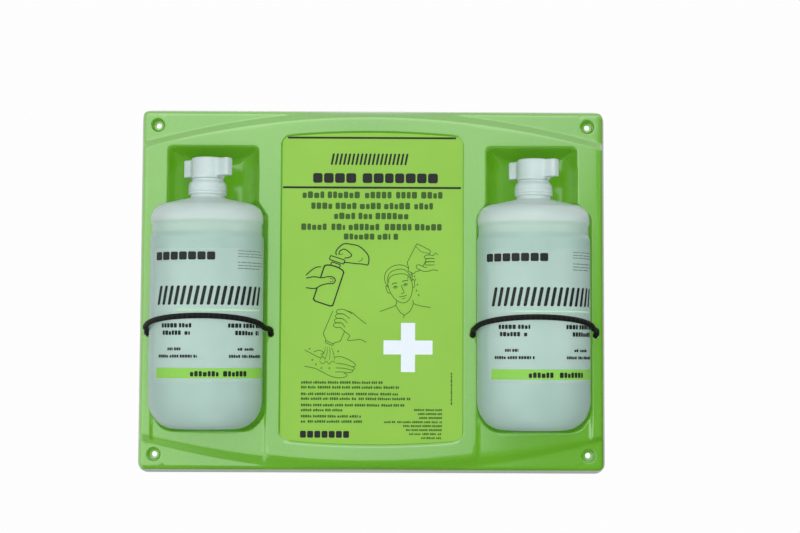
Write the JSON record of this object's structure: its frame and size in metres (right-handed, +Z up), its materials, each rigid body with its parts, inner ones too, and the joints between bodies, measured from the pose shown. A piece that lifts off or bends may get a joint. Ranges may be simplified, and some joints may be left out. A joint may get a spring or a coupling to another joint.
{
  "type": "eyewash station",
  "caption": "Wall-mounted eyewash station: formed green panel holding oval squeeze bottles of saline in troughs behind elastic cords, with a printed sign in the middle.",
  "frame": {"origin": "centre of the four wall-screw holes, in the plane of the wall behind the panel", "axes": "+X to the right across the panel, +Z up, the front faces -Y and the wall is at y = 0"},
  "size_m": [0.432, 0.0837, 0.337],
  "materials": {
    "panel_plastic": "gloss",
    "sign_sheet": "satin",
    "bottle_plastic": "satin",
    "saline": "gloss",
    "print_film": "satin",
    "closure_plastic": "satin",
    "elastic_cord": "matte",
    "stop_metal": "satin"
  },
  "bodies": {
    "root": {"wall_panel": "panel_plastic", "sign_sheet": "sign_sheet", "left_elastic_cord": "elastic_cord", "left_cord_stop_inner": "stop_metal", "left_cord_stop_outer": "stop_metal", "right_elastic_cord": "elastic_cord", "right_cord_stop_inner": "stop_metal", "right_cord_stop_outer": "stop_metal"},
    "left_bottle_body": {"left_bottle": "bottle_plastic", "left_saline": "saline", "left_print_film": "print_film", "left_closure_collar": "closure_plastic", "left_flow_nozzle": "closure_plastic"},
    "left_tab_body": {"left_twist_tab": "closure_plastic"},
    "right_bottle_body": {"right_bottle": "bottle_plastic", "right_saline": "saline", "right_print_film": "print_film", "right_closure_collar": "closure_plastic", "right_flow_nozzle": "closure_plastic"},
    "right_tab_body": {"right_twist_tab": "closure_plastic"}
  },
  "joints": [
    {"name": "left_bottle_pull", "type": "slide", "parent": "root", "child": "left_bottle_body", "axis": [0, -1, 0], "range_m": [0, 0.05], "stiffness_N_per_m": 120, "springref_m": -0.03, "deforming": ["left_elastic_cord"]},
    {"name": "left_tab_twist", "type": "hinge", "parent": "left_bottle_body", "child": "left_tab_body", "pos_m": [-0.1496, -0.0412, 0.11], "axis": [0, 0, 1], "range_deg": [0, 90]},
    {"name": "right_bottle_pull", "type": "slide", "parent": "root", "child": "right_bottle_body", "axis": [0, -1, 0], "range_m": [0, 0.05], "stiffness_N_per_m": 120, "springref_m": -0.03, "deforming": ["right_elastic_cord"]},
    {"name": "right_tab_twist", "type": "hinge", "parent": "right_bottle_body", "child": "right_tab_body", "pos_m": [0.1464, -0.0412, 0.11], "axis": [0, 0, 1], "range_deg": [0, 90]}
  ]
}
